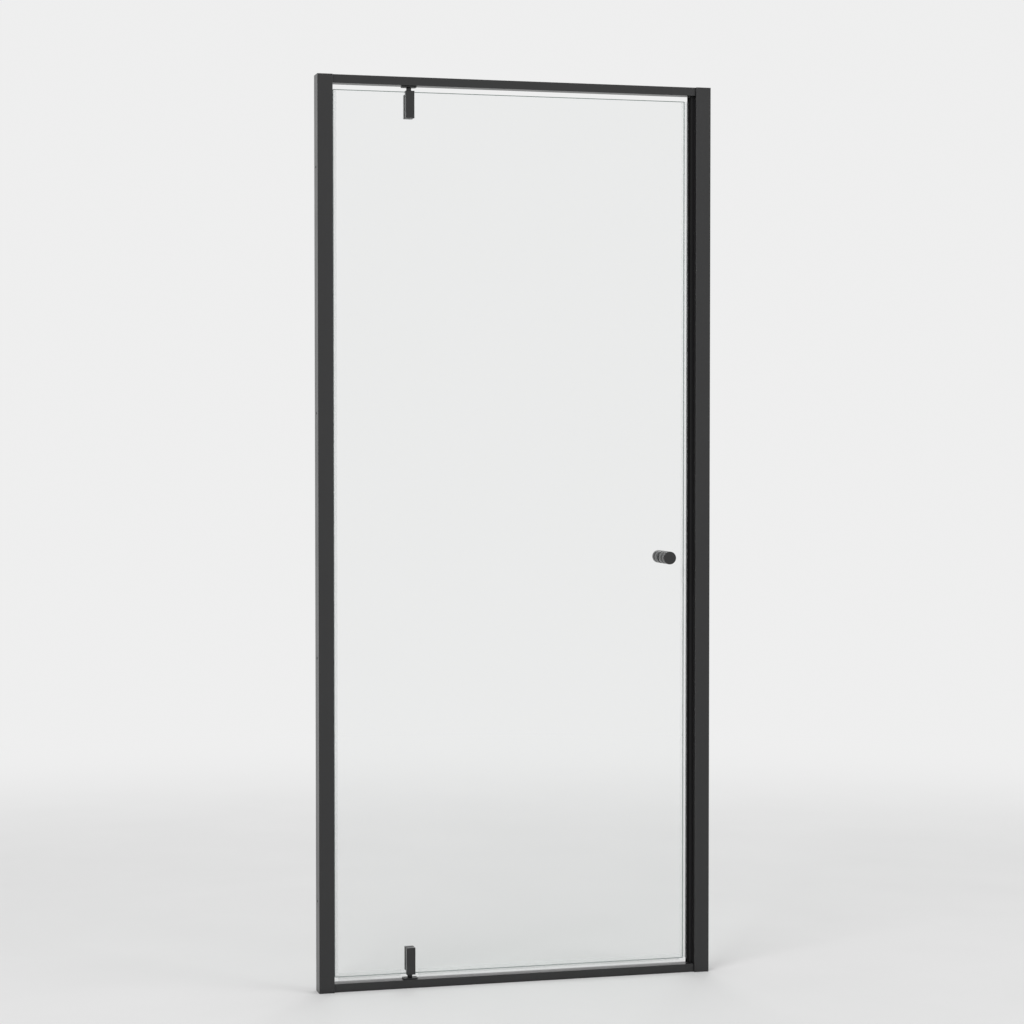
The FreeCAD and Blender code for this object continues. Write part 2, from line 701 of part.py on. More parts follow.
def make_glass_pane():
    """The leaf's glass, with a notch at each pivot and holes for clamps and knobs."""
    body = new_piece("glass_pane")
    left = "pivot_x - notch_half_width"
    right = "pivot_x + notch_half_width"
    low_notch = "glass_bottom + notch_depth"
    high_notch = "glass_top - notch_depth"
    add(body, "y", "-half_glass", "half_glass", polygon(
        ("glass_left", "glass_bottom"),
        (left, "glass_bottom"),
        (left, low_notch),
        (right, low_notch),
        (right, "glass_bottom"),
        ("glass_right", "glass_bottom"),
        ("glass_right", "glass_top"),
        (right, "glass_top"),
        (right, high_notch),
        (left, high_notch),
        (left, "glass_top"),
        ("glass_left", "glass_top"),
    ))

    def through(edge):
        return runs_along(edge, "y")

    ends = size("glass_left"), size("glass_right")
    dress(body, "Fillet", "glass_corner_radius", lambda edge: (
        through(edge) and any(near(edge.BoundBox.XMax, end) for end in ends)))
    depths = (
        size("glass_bottom") + size("notch_depth"),
        size("glass_top") - size("notch_depth"),
    )
    dress(body, "Fillet", "notch_radius", lambda edge: (
        through(edge) and any(near(edge.BoundBox.ZMax, depth) for depth in depths)))

    face = size("half_glass")
    dress(body, "Chamfer", "glass_arris", lambda edge: (
        near(edge.BoundBox.YLength, 0) and near(abs(edge.BoundBox.YMax), face)))
    cut(body, "y", "-half_glass", "half_glass",
        circle("pivot_x", "glass_top - glass_screw_inset", "clamp_hole_diameter"),
        circle("pivot_x", "glass_bottom + glass_screw_inset", "clamp_hole_diameter"),
        circle("knob_x", "knob_height", "knob_hole_diameter"))


# ---------------------------------------------------------------- clamps and pins

def clamp_screw_spots():
    """A clamp's two screws, from the edge of the glass, as drawn across y."""
    return [("0", "-boss_screw_inset"), ("0", "-glass_screw_inset")]


def chamfer_outer_face(body, y):
    """Chamfer the straight edges of the face that lies furthest from the glass."""
    dress(body, "Chamfer", "clamp_chamfer", lambda edge: (
        near(edge.BoundBox.YMin, y) and near(edge.BoundBox.YMax, y)
        and edge.Curve.TypeId == "Part::GeomLine"))


def make_clamp_front(name, at, turned):
    """Front plate, with the block that fills the notch; local z 0 is the glass's edge."""
    body = new_piece(name, at, turned)
    add(body, "y", "-clamp_depth / 2", "-plate_y", rectangle(
        "-clamp_width / 2", "clamp_foot", "clamp_width / 2", "clamp_over"))
    chamfer_outer_face(body, -size("clamp_depth") / 2)
    add(body, "y", "-plate_y", "plate_y - seat_gap", rectangle(
        "-boss_width / 2", "clamp_over - boss_height", "boss_width / 2", "clamp_over"))
    foot = size("clamp_over") - size("boss_height")
    dress(body, "Fillet", "notch_radius - notch_clearance", lambda edge: (
        runs_along(edge, "y") and near(edge.BoundBox.ZMax, foot)))
    cut(body, "y", "-(plate_y + clamp_screw_bite)", "plate_y", *[
        circle(x, z, "clamp_screw_diameter + 2 * screw_clearance")
        for x, z in clamp_screw_spots()
    ])
    cut(body, "z", "clamp_over - stub_length - stub_end_gap", "clamp_over",
        circle("0", "0", "stub_diameter + 2 * running_clearance"))


def make_clamp_back(name, at, turned):
    """Back plate, with sunk screw heads; local z 0 is the glass's edge."""
    body = new_piece(name, at, turned)
    add(body, "y", "plate_y", "clamp_depth / 2", rectangle(
        "-clamp_width / 2", "clamp_foot", "clamp_width / 2", "clamp_over - back_drop"))
    chamfer_outer_face(body, size("clamp_depth") / 2)
    seat = "clamp_depth / 2 - clamp_screw_head_height - screw_recess"
    cut(body, "y", seat, "clamp_depth / 2", *[
        circle(x, z, "clamp_screw_head + 2 * screw_clearance") for x, z in clamp_screw_spots()])
    cut(body, "y", "plate_y", seat, *[
        circle(x, z, "clamp_screw_diameter + 2 * screw_clearance")
        for x, z in clamp_screw_spots()
    ])


def make_clamp_gaskets(name, at, turned):
    """Two rubber sheets, cut away round the block and the screw."""
    body = new_piece(name, at, turned)
    sides = both_sides("clamp_width / 2 - gasket_margin")
    foot = "clamp_foot + gasket_margin"
    add(body, "y", "-plate_y", "-half_glass", rectangle(sides[0], foot, sides[1], "0"))
    add(body, "y", "half_glass", "plate_y", rectangle(
        sides[0], foot, sides[1], "clamp_over - back_drop - gasket_margin"))
    cut(body, "y", "-plate_y", "plate_y", rectangle(
        "-notch_half_width", "-notch_depth", "notch_half_width", "clamp_over"))
    cut(body, "y", "-plate_y", "plate_y",
        circle("0", "-glass_screw_inset", "clamp_screw_diameter + 2 * screw_clearance"))


def make_pivot_pin(name, at, turned):
    """Stepped steel pin: stub in the clamp, neck that shows, journal in the bush."""
    body = new_piece(name, at, turned)
    add(body, "z", "clamp_over - stub_length", "clamp_over", circle("0", "0", "stub_diameter"))
    add(body, "z", "clamp_over", "neck_end", circle("0", "0", "neck_diameter"))
    add(body, "z", "neck_end", "neck_end + journal_length", circle("0", "0", "journal_diameter"))
    ends = (
        size("clamp_over") - size("stub_length"),
        size("neck_end") + size("journal_length"),
    )
    dress(body, "Chamfer", "pin_chamfer", lambda edge: (
        edge.Curve.TypeId == "Part::GeomCircle"
        and any(near(edge.BoundBox.ZMin, end) and near(edge.BoundBox.ZMax, end)
                for end in ends)))


def leaf_screw_circles(diameter, insets):
    """Circles at both clamps, as drawn across y."""
    circles = []
    for inset in insets:
        circles.append(circle("pivot_x", f"glass_top - {inset}", diameter))
        circles.append(circle("pivot_x", f"glass_bottom + {inset}", diameter))
    return circles


def make_clamp_screws():
    """Four socket screws from the back plates into the front plates."""
    body = new_piece("clamp_screws")
    insets = ("boss_screw_inset", "glass_screw_inset")
    top = "clamp_depth / 2 - screw_recess"
    seat = f"{top} - clamp_screw_head_height"
    add(body, "y", seat, top, *leaf_screw_circles("clamp_screw_head", insets))
    add(body, "y", "screw_recess - plate_y - clamp_screw_bite", seat,
        *leaf_screw_circles("clamp_screw_diameter", insets))
    cut(body, "y", f"{top} - socket_depth", top, *[
        hexagon("pivot_x", f"{edge} {inset}", "socket_across")
        for inset in insets for edge in ("glass_top -", "glass_bottom +")
    ])


def make_clamp_sleeves():
    """Nylon sleeves that keep the lower clamp screws off the glass."""
    body = new_piece("clamp_sleeves")
    insets = ("glass_screw_inset",)
    add(body, "y", "-half_glass", "half_glass",
        *leaf_screw_circles("clamp_hole_diameter - 2 * sleeve_play", insets))
    cut(body, "y", "-half_glass", "half_glass",
        *leaf_screw_circles("clamp_screw_diameter + 2 * screw_clearance", insets))


# ---------------------------------------------------------------- side and drip seals

def make_pivot_side_seal():
    """Clear lip seal on the short edge, with a fin towards the left jamb."""
    body = new_piece("pivot_side_seal")
    grip = "glass_left + pivot_seal_cover"
    base = "glass_left - seal_fit - seal_wall"
    fin = "fin_gap - mouth_x"
    slot = "half_glass + seal_fit"
    add(body, "z", "glass_bottom", "glass_top", polygon(
        (grip, "-seal_y"),
        (grip, f"-({slot})"),
        ("glass_left - seal_fit", f"-({slot})"),
        ("glass_left - seal_fit", slot),
        (grip, slot),
        (grip, "seal_y"),
        (base, "seal_y"),
        (base, "fin_thickness / 2"),
        (fin, "fin_thickness / 2"),
        (fin, "-fin_thickness / 2"),
        (base, "-fin_thickness / 2"),
        (base, "-seal_y"),
    ))


def make_drip_seal(name, start, end):
    """Clear seal under the glass: a fin down to the threshold and a drip edge inwards."""
    body = new_piece(name, ("0", "0", "glass_bottom"))
    slot = "half_glass + seal_fit"
    base = "-(seal_fit + seal_wall)"
    middle = "-(seal_fit + seal_wall / 2)"
    add(body, "x", start, end, polygon(
        ("-seal_y", base),
        ("seal_y", base),
        ("seal_y", "drip_seal_cover"),
        (slot, "drip_seal_cover"),
        (slot, "-seal_fit"),
        (f"-({slot})", "-seal_fit"),
        (f"-({slot})", "drip_seal_cover"),
        ("-seal_y", "drip_seal_cover"),
    ))
    add(body, "x", start, end, rectangle(
        "-fin_thickness / 2", "drip_gap - glass_gap", "fin_thickness / 2", middle))
    add(body, "x", start, end, polygon(
        ("seal_y - 1.5 * fin_thickness", middle),
        (f"seal_y + deflector_reach - 1.5 * fin_thickness", f"{base} - deflector_drop"),
        ("seal_y + deflector_reach", f"{base} - deflector_drop"),
        ("seal_y", middle),
    ))


# ---------------------------------------------------------------- knobs

def make_knob(name, turned):
    """Turned knob with one groove and a blind bore; its axis is y, the glass at y 0."""
    body = new_piece(name, ("knob_x", "0", "knob_height"), turned)
    bore = "stud_diameter / 2 + screw_clearance"
    rim = "knob_diameter / 2"
    end = "knob_seat_y + knob_length"
    bore_end = "knob_seat_y + stud_hold + stud_end_gap"
    turned_outline = polygon(
        (bore, "knob_seat_y"),
        (rim, "knob_seat_y"),
        (rim, f"{end} - groove_setback - groove_width"),
        (f"{rim} - groove_depth", f"{end} - groove_setback - groove_width"),
        (f"{rim} - groove_depth", f"{end} - groove_setback"),
        (rim, f"{end} - groove_setback"),
        (rim, f"{end} - knob_chamfer"),
        (f"{rim} - knob_chamfer", end),
        ("0", end),
        ("0", bore_end),
        (bore, bore_end),
    )
    sketch = sketch_across(body, "z", "0", [turned_outline])
    turning = body.newObject("PartDesign::Revolution", f"{name}_turning")
    turning.Profile = sketch
    turning.ReferenceAxis = (sketch, ["V_Axis"])
    turning.Angle = 360
    doc.recompute()


def make_knob_washers():
    """Two washers between the knobs and the glass."""
    body = new_piece("knob_washers")
    outer = circle("knob_x", "knob_height", "washer_diameter")
    hole = circle("knob_x", "knob_height", "stud_diameter + 2 * screw_clearance")
    add(body, "y", "half_glass", "knob_seat_y", outer)
    add(body, "y", "-knob_seat_y", "-half_glass", outer)
    cut(body, "y", "-knob_seat_y", "knob_seat_y", hole)


def make_knob_sleeve():
    """Nylon sleeve round the stud, in the hole of the glass."""
    body = new_piece("knob_sleeve")
    add(body, "y", "-half_glass", "half_glass",
        circle("knob_x", "knob_height", "knob_hole_diameter - 2 * sleeve_play"))
    cut(body, "y", "-half_glass", "half_glass",
        circle("knob_x", "knob_height", "stud_diameter + 2 * screw_clearance"))


def make_knob_stud():
    """Threaded stud that joins the two knobs through the glass."""
    body = new_piece("knob_stud")
    add(body, "y", *both_sides("knob_seat_y + stud_hold"),
        circle("knob_x", "knob_height", "stud_diameter"))


# ---------------------------------------------------------------- the door

LEFT, RIGHT = -1, 1
ABOUT_X, ABOUT_Y, ABOUT_Z = (1, 0, 0), (0, 1, 0), (0, 0, 1)

for suffix, side in (("left", LEFT), ("right", RIGHT)):
    make_wall_channel(f"wall_channel_{suffix}", side)
    make_jamb_profile(f"jamb_profile_{suffix}", side)
    make_channel_cap(f"channel_cap_{suffix}", side)
make_jamb_screws()
make_screw_caps()

make_rail("top_rail", ("0", "0", "overall_height"), ABOUT_X)
make_rail("threshold_rail", ("0", "0", "0"), None)
make_corner_screws()
make_pivot_bush("pivot_bush_top", ("pivot_x", "0", "header_z"), ABOUT_X)
make_pivot_bush("pivot_bush_bottom", ("pivot_x", "0", "rail_height"), None)
make_bush_screws()

make_strike_profile()
make_strike_screws()
make_strike_magnet()

make_glass_pane()
make_closing_seal()
make_closing_magnet()
make_pivot_side_seal()
make_drip_seal("drip_seal_short", "glass_left + pivot_seal_cover + drip_end_gap",
               "pivot_x - drip_start")
make_drip_seal("drip_seal_long", "pivot_x + drip_start",
               "glass_right - closing_seal_cover - drip_end_gap")

# the front plates stay in front at both ends, so the lower ones are turned about y
for end, edge, plate_turn, pin_turn in (
    ("top", "glass_top", None, None),
    ("bottom", "glass_bottom", ABOUT_Y, ABOUT_X),
):
    spot = ("pivot_x", "0", edge)
    make_clamp_front(f"clamp_front_{end}", spot, plate_turn)
    make_clamp_back(f"clamp_back_{end}", spot, plate_turn)
    make_clamp_gaskets(f"clamp_gaskets_{end}", spot, plate_turn)
    make_pivot_pin(f"pivot_pin_{end}", spot, pin_turn)
make_clamp_screws()
make_clamp_sleeves()

make_knob("knob_front", ABOUT_Z)
make_knob("knob_back", None)
make_knob_washers()
make_knob_sleeve()
make_knob_stud()


# ---------------------------------------------------------------- check and write

doc.recompute()
for thing in doc.Objects:
    if "Invalid" in thing.State or "Error" in thing.State:
        raise ValueError(f"{thing.Name} failed: {thing.State}")
for body in pieces:
    if body.Shape.isNull() or not body.Shape.isValid() or not body.Shape.Solids:
        raise ValueError(f"{body.Label} has no valid solid")

os.makedirs("parts", exist_ok=True)
for body in pieces:
    body.Shape.exportStep(os.path.join("parts", f"{body.Label}.step"))
    solids = body.Shape.Solids
    print(f"{body.Label}: {len(solids)} solid(s), {sum(s.Volume for s in solids) / 1000:.2f} cm3")
print(f"{len(pieces)} pieces written")
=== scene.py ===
import json
import math

import bmesh
import bpy
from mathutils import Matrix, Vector

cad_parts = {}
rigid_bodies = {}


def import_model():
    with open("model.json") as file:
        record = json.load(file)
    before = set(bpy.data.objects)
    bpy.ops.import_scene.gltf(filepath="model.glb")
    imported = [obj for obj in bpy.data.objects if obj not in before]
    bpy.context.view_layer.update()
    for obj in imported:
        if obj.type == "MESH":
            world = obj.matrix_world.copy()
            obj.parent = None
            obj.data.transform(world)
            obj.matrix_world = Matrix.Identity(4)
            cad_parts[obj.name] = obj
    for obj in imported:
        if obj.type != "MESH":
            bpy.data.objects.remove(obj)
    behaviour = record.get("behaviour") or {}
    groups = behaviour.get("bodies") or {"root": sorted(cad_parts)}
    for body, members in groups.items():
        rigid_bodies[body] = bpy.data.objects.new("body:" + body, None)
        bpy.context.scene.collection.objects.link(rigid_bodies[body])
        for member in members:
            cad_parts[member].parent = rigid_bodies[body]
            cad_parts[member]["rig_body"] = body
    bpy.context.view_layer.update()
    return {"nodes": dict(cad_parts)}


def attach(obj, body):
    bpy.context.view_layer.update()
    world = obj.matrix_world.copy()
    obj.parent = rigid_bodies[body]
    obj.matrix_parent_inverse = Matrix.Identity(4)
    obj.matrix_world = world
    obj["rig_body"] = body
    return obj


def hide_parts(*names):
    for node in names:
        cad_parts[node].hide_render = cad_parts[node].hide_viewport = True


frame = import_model()
MM = 0.001


# ------------------------------------------------------------------ studio
# The camera stands where the photograph was taken from: left of the middle, at chest
# height, with a long lens. The floor is plain and pale and fades into the backdrop, and
# large soft lamps light the door evenly.

CAMERA_PLACE = (-1.4133, -5.2537, 1.1932)
CAMERA_DOWN, CAMERA_RIGHT = 1.80, 14.97    # degrees from level, and from straight ahead
FILM_WIDTH, LENS = 36, 88.3                # in millimetres
FARTHEST_SEEN = 60
BACKDROP = (0.86, 0.86, 0.86, 1)
FLOOR_RADIUS, FLOOR_SIDES = 12, 96
FLOOR_TONES = 0.79, 0.83
FLOOR_FADE = 1.6, 4.5                      # from where to where it turns into backdrop
AMBIENT = 0.62
LAMP_WIDTH, LAMP_TARGET = 3.0, (0, 0, 0.95)
LAMPS = (
    # name, place, watts
    ("key_lamp", (-3.6, -3.8, 4.2), 125),
    ("fill_lamp", (4.2, -3.6, 3.4), 60),
    ("back_lamp", (1.5, 4.6, 4.4), 70),
)


def wire(tree, kind, feed=None, **settings):
    """Add a node to a tree, set it up, and feed its inputs with values or sockets."""
    node = tree.nodes.new(kind)
    for name, value in settings.items():
        setattr(node, name, value)
    for socket, value in (feed or {}).items():
        if isinstance(value, bpy.types.NodeSocket):
            tree.links.new(value, node.inputs[socket])
        else:
            node.inputs[socket].default_value = value
    return node


def math_node(tree, operation, *values):
    """Work something out from values or sockets, and return the result's socket."""
    return wire(tree, "ShaderNodeMath", dict(enumerate(values)),
                operation=operation).outputs[0]


def seen_rays(tree):
    """1 where a ray comes from the camera, off gloss or through glass, and 0 elsewhere."""
    path = wire(tree, "ShaderNodeLightPath").outputs
    gloss = math_node(tree, "MAXIMUM", path["Is Camera Ray"], path["Is Glossy Ray"])
    return math_node(tree, "MAXIMUM", gloss, path["Is Transmission Ray"])


def add_object(name, data):
    """Put a new object into the scene."""
    made = bpy.data.objects.new(name, data)
    bpy.context.scene.collection.objects.link(made)
    return made


camera = add_object("camera", bpy.data.cameras.new("camera"))
camera.data.sensor_width = FILM_WIDTH
camera.data.lens = LENS
camera.data.clip_end = FARTHEST_SEEN
camera.location = CAMERA_PLACE
camera.rotation_euler = (
    math.radians(90 - CAMERA_DOWN), 0, math.radians(-CAMERA_RIGHT))
bpy.context.scene.camera = camera
bpy.context.scene.view_settings.view_transform = "Standard"

for name, place, watts in LAMPS:
    lamp = add_object(name, bpy.data.lights.new(name, "AREA"))
    lamp.data.shape = "SQUARE"
    lamp.data.size = LAMP_WIDTH
    lamp.data.energy = watts
    lamp.visible_transmission = False      # a lamp behind the glass isn't seen in it
    lamp.location = place
    aim = Vector(LAMP_TARGET) - Vector(place)
    lamp.rotation_euler = aim.to_track_quat("-Z", "Y").to_euler()

world = bpy.data.worlds.new("studio")
bpy.context.scene.world = world
world.use_nodes = True
tree = world.node_tree
tree.nodes.clear()
light = wire(tree, "ShaderNodeBackground", {"Color": (1, 1, 1, 1), "Strength": AMBIENT})
wall = wire(tree, "ShaderNodeBackground", {"Color": BACKDROP})
both = wire(tree, "ShaderNodeMixShader", {
    0: seen_rays(tree), 1: light.outputs[0], 2: wall.outputs[0]})
wire(tree, "ShaderNodeOutputWorld", {"Surface": both.outputs[0]})

floor_mesh = bpy.data.meshes.new("floor")
ring = [
    (FLOOR_RADIUS * math.cos(math.tau * i / FLOOR_SIDES),
     FLOOR_RADIUS * math.sin(math.tau * i / FLOOR_SIDES), 0)
    for i in range(FLOOR_SIDES)
]
floor_mesh.from_pydata(ring, [], [list(range(FLOOR_SIDES))])
floor = add_object("floor", floor_mesh)
floor_paint = bpy.data.materials.new("studio_floor")
floor_paint.use_nodes = True
tree = floor_paint.node_tree
tree.nodes.clear()
spot = wire(tree, "ShaderNodeTexCoord").outputs["Object"]
mottle = wire(tree, "ShaderNodeTexNoise", {"Vector": spot, "Scale": 3.0, "Detail": 3.0})
tone = wire(tree, "ShaderNodeMapRange", {
    0: mottle.outputs["Fac"], "To Min": FLOOR_TONES[0], "To Max": FLOOR_TONES[1]})
near_floor = wire(tree, "ShaderNodeBsdfDiffuse", {"Color": tone.outputs[0]})
far_floor = wire(tree, "ShaderNodeEmission", {"Color": BACKDROP})
away = wire(tree, "ShaderNodeVectorMath", {0: spot}, operation="LENGTH")
fade = wire(tree, "ShaderNodeMapRange", {
    0: away.outputs["Value"], "From Min": FLOOR_FADE[0], "From Max": FLOOR_FADE[1]},
    interpolation_type="SMOOTHERSTEP")
shown = math_node(tree, "MULTIPLY", fade.outputs[0], seen_rays(tree))
blend = wire(tree, "ShaderNodeMixShader", {
    0: shown, 1: near_floor.outputs[0], 2: far_floor.outputs[0]})
wire(tree, "ShaderNodeOutputMaterial", {"Surface": blend.outputs[0]})
floor.data.materials.append(floor_paint)


# ------------------------------------------------------------------ wall channels
# Two U-shaped aluminium extrusions, powder coated in satin black, that are screwed to the
# walls. Their free edges are rounded in the die, and the sawn ends are deburred.

COAT_GRAIN = 0.45 * MM          # orange peel of the powder coat
SATIN_BLACK = (0.0205, 0.0205, 0.021, 1)
WAVE_SCALE, WAVE_HEIGHT = 0.22, 1.5        # slower and higher bumps under the grain
SLOW_SCALE, CHIP_SCALE = 9.0, 240.0        # per metre: changes of tone, and worn edges
SLOW_ROUGHNESS, GRAIN_ROUGHNESS = 0.12, 0.06
EDGE_PALER, EDGE_SMOOTHER = 0.5, 0.08
SAME_PLACE = 1e-6               # corners nearer than this are one corner
FLAT_TURN = 0.5                 # degrees: faces that turn less are merged
LEAST_SHARP, MOST_SHARP = 35, 120          # degrees: edges between these are rounded
SQUARE, SAME_WAY = 0.9995, 0.999           # least cosines to an axis, and between faces
BROAD = 3.5                     # bands: flat groups of faces this broad are inset
LEAST_BAND = 0.04 * MM          # narrower bands beside an edge aren't made
NO_FOLD = 1.0001                # faces that cover more than this share have folded over
EASED_SMOOTH = 40               # degrees: flatter edges of such pieces are shaded smooth


def new_tree(kind, name, inputs, outputs):
    """Start a node group with named sockets, each a name, a kind and maybe a value."""
    tree = bpy.data.node_groups.new(name, kind)
    for in_out, sockets in (("INPUT", inputs), ("OUTPUT", outputs)):
        for title, socket, *value in sockets:
            made = tree.interface.new_socket(
                title, in_out=in_out, socket_type=f"NodeSocket{socket}")
            if value:
                made.default_value = value[0]
    return tree, tree.nodes.new("NodeGroupInput"), tree.nodes.new("NodeGroupOutput")


def fine_grain_group():
    """Fine bumps over slow changes of tone and gloss, smoother and paler on worked edges."""
    tree, given, result = new_tree("ShaderNodeTree", "fine_grain", (
        ("Color", "Color", (0.02, 0.02, 0.02, 1)),
        ("Grain", "Float", 0.0005),
        ("Roughness", "Float", 0.4),
        ("Tone", "Float", 0.1),
    ), (("Color", "Color"), ("Roughness", "Float"), ("Height", "Float")))
    place = wire(tree, "ShaderNodeTexCoord").outputs["Object"]

    def noise(scale, detail, **more):
        return wire(tree, "ShaderNodeTexNoise", {
            "Vector": place, "Scale": scale, "Detail": detail, **more}).outputs["Fac"]

    per_metre = math_node(tree, "DIVIDE", 1.0, given.outputs["Grain"])
    grain = noise(per_metre, 2.0, Roughness=0.55)
    wave = noise(math_node(tree, "MULTIPLY", per_metre, WAVE_SCALE), 1.0)
    height = math_node(tree, "MULTIPLY_ADD", wave, WAVE_HEIGHT, grain)
    slow = noise(SLOW_SCALE, 4.0)
    mask = wire(tree, "ShaderNodeAttribute", attribute_name="edge").outputs["Fac"]
    chipped = noise(CHIP_SCALE, 3.0)
    edge = math_node(tree, "MULTIPLY", math_node(tree, "MULTIPLY", mask, mask), chipped)

    # tone: 1 plus or minus the slow change, and paler on the edges
    swing = math_node(tree, "SUBTRACT", slow, 0.5)
    toned = math_node(tree, "MULTIPLY_ADD", swing, given.outputs["Tone"], 1.0)
    paler = math_node(tree, "MULTIPLY_ADD", edge, EDGE_PALER, toned)
    colour = wire(tree, "ShaderNodeVectorMath", {
        0: given.outputs["Color"], "Scale": paler}, operation="SCALE").outputs[0]

    # gloss: the grain and the slow change both move it, and edges are smoother
    rough = math_node(
        tree, "MULTIPLY_ADD", swing, SLOW_ROUGHNESS, given.outputs["Roughness"])
    rougher = math_node(tree, "MULTIPLY_ADD", grain, GRAIN_ROUGHNESS, rough)
    eased_off = math_node(tree, "MULTIPLY_ADD", edge, -EDGE_SMOOTHER, rougher)
    tree.links.new(colour, result.inputs["Color"])
    tree.links.new(eased_off, result.inputs["Roughness"])
    tree.links.new(height, result.inputs["Height"])
    return tree


FINE_GRAIN = fine_grain_group()


def start_material(name, **plain):
    """A material with its Principled shader, whose plain values are set on its own sockets."""
    material = bpy.data.materials.new(name)
    material.use_nodes = True
    shader = material.node_tree.nodes["Principled BSDF"]
    for socket, value in plain.items():
        shader.inputs[socket.replace("_", " ")].default_value = value
    return material, material.node_tree, shader


def grained_material(name, colour, grain, roughness, depth, tone=0.12, strength=0.5, **plain):
    """A finish with fine grain of a given size and depth over slow changes of tone."""
    material, tree, shader = start_material(name, **plain)
    effect = wire(tree, "ShaderNodeGroup", {
        "Color": colour, "Grain": grain, "Roughness": roughness, "Tone": tone},
        node_tree=FINE_GRAIN).outputs
    bump = wire(tree, "ShaderNodeBump", {
        "Height": effect["Height"], "Distance": depth, "Strength": strength})
    tree.links.new(effect["Color"], shader.inputs["Base Color"])
    tree.links.new(effect["Roughness"], shader.inputs["Roughness"])
    tree.links.new(bump.outputs["Normal"], shader.inputs["Normal"])
    return material


def settle(piece):
    """Turn a piece's modifiers into plain mesh."""
    graph = bpy.context.evaluated_depsgraph_get()
    mesh = bpy.data.meshes.new_from_object(piece.evaluated_get(graph))
    piece.modifiers.clear()
    piece.data = mesh
    mesh.name = piece.name


def smooth_but(piece, degrees):
    """Shade a mesh smooth, except where its faces meet at more than an angle."""
    piece.data.shade_smooth()
    piece.data.set_sharp_from_angle(angle=math.radians(degrees))


def stand_in(piece, node, slot):
    """Let a piece take the place of a CAD node, on the node's body."""
    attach(piece, frame["nodes"][node]["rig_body"])
    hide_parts(node)


def flat_regions(shape, breadth):
    """Groups of faces that lie square to an axis and together are at least so broad.

    The faces are kept in dicts, because a set's order isn't the same in each run.
    """
    left = dict.fromkeys(
        face for face in shape.faces if max(abs(part) for part in face.normal) > SQUARE)
    while left:
        region, ahead = {}, [left.popitem()[0]]
        while ahead:
            face = ahead.pop()
            region[face] = None
            for edge in face.edges:
                for near in edge.link_faces:
                    if near in left and near.normal.dot(face.normal) > SAME_WAY:
                        del left[near]
                        ahead.append(near)
        area = sum(face.calc_area() for face in region)
        rim = sum(edge.calc_length() for face in region for edge in face.edges
                  if any(near not in region for near in edge.link_faces))
        if 2 * area > rim * breadth:
            yield list(region)


def inset_flat(shape, region, width):
    """Inset a flat group of faces, by less than the width where they would fold over."""
    area = sum(face.calc_area() for face in region)
    while width > LEAST_BAND:
        how = {"thickness": width, "use_even_offset": True, "use_boundary": True}
        shape.faces.index_update()
        trial = shape.copy()
        trial.faces.ensure_lookup_table()
        inner = [trial.faces[face.index] for face in region]
        rim = bmesh.ops.inset_region(trial, faces=inner, **how)
        touched = {*inner, *rim["faces"]}
        covered = sum(
            (b.vert.co - a.vert.co).cross(c.vert.co - a.vert.co).length / 2
            for a, b, c in trial.calc_loop_triangles() if a.face in touched)
        trial.free()
        if covered < NO_FOLD * area:
            bmesh.ops.inset_region(shape, faces=region, **how)
            return region
        width /= 2
    return []


def in_order(shape):
    """Put corners, edges and faces in an order that is the same in each run."""
    def corners(item):
        return sorted(vertex.index for vertex in item.verts)

    for items, key in ((shape.verts, lambda vertex: tuple(vertex.co)),
                       (shape.edges, corners), (shape.faces, corners)):
        place = {item: number for number, item in enumerate(sorted(items, key=key))}
        items.sort(key=place.get)
        items.index_update()


def eased(node, width, material, slot, band=0.9, others=()):
    """Stand in for a CAD node with a copy whose sharp edges are rounded, in millimetres.

    The layer "edge" is 1 on edges and roundings, and falls to 0 across a band beside them.
    Others are pairs of a material and a test for the middles of the faces that take it.
    """
    shape = bmesh.new()
    shape.from_mesh(frame["nodes"][node].data)
    bmesh.ops.remove_doubles(shape, verts=shape.verts, dist=SAME_PLACE)
    bmesh.ops.dissolve_limit(
        shape, angle_limit=math.radians(FLAT_TURN), verts=shape.verts, edges=shape.edges)
    if width:
        sharp = [
            edge for edge in shape.edges if edge.is_manifold
            and LEAST_SHARP < math.degrees(edge.calc_face_angle()) < MOST_SHARP
        ]
        bmesh.ops.bevel(
            shape, geom=sharp, offset=width * MM, offset_type="OFFSET", segments=2,
            profile=0.5, affect="EDGES", clamp_overlap=True)
    shape.normal_update()
    inner = []
    for region in list(flat_regions(shape, BROAD * band * MM)):
        inner += inset_flat(shape, region, band * MM)
    mask = shape.verts.layers.float.new("edge")
    for vertex in shape.verts:
        vertex[mask] = 1
    for face in inner:
        for vertex in face.verts:
            vertex[mask] = 0
    for number, (other, test) in enumerate(others, 1):
        for face in shape.faces:
            if test(face.calc_center_median() / MM, face in inner):
                face.material_index = number
    mesh = bpy.data.meshes.new(f"{node}_eased")
    for finish in [material] + [other for other, test in others]:
        mesh.materials.append(finish)
    in_order(shape)
    shape.to_mesh(mesh)
    shape.free()
    piece = add_object(f"{node}_eased", mesh)
    smooth_but(piece, EASED_SMOOTH)
    even = piece.modifiers.new("even", "WEIGHTED_NORMAL")
    even.keep_sharp = True
    settle(piece)
    stand_in(piece, node, slot)


powder_coat = grained_material(
    "satin_black_powder_coat", SATIN_BLACK, COAT_GRAIN, 0.29, 0.03 * MM,
    Specular_IOR_Level=0.4)
for node in ("wall_channel_left", "wall_channel_right"):
    eased(node, 0.3, powder_coat, "black_aluminium")


# ------------------------------------------------------------------ jamb profiles
# Hollow aluminium boxes that slide in the channels, with the same coating. Six stainless
# screws lock them from the shower's side, under black snap caps, and moulded plugs close
# their tops.

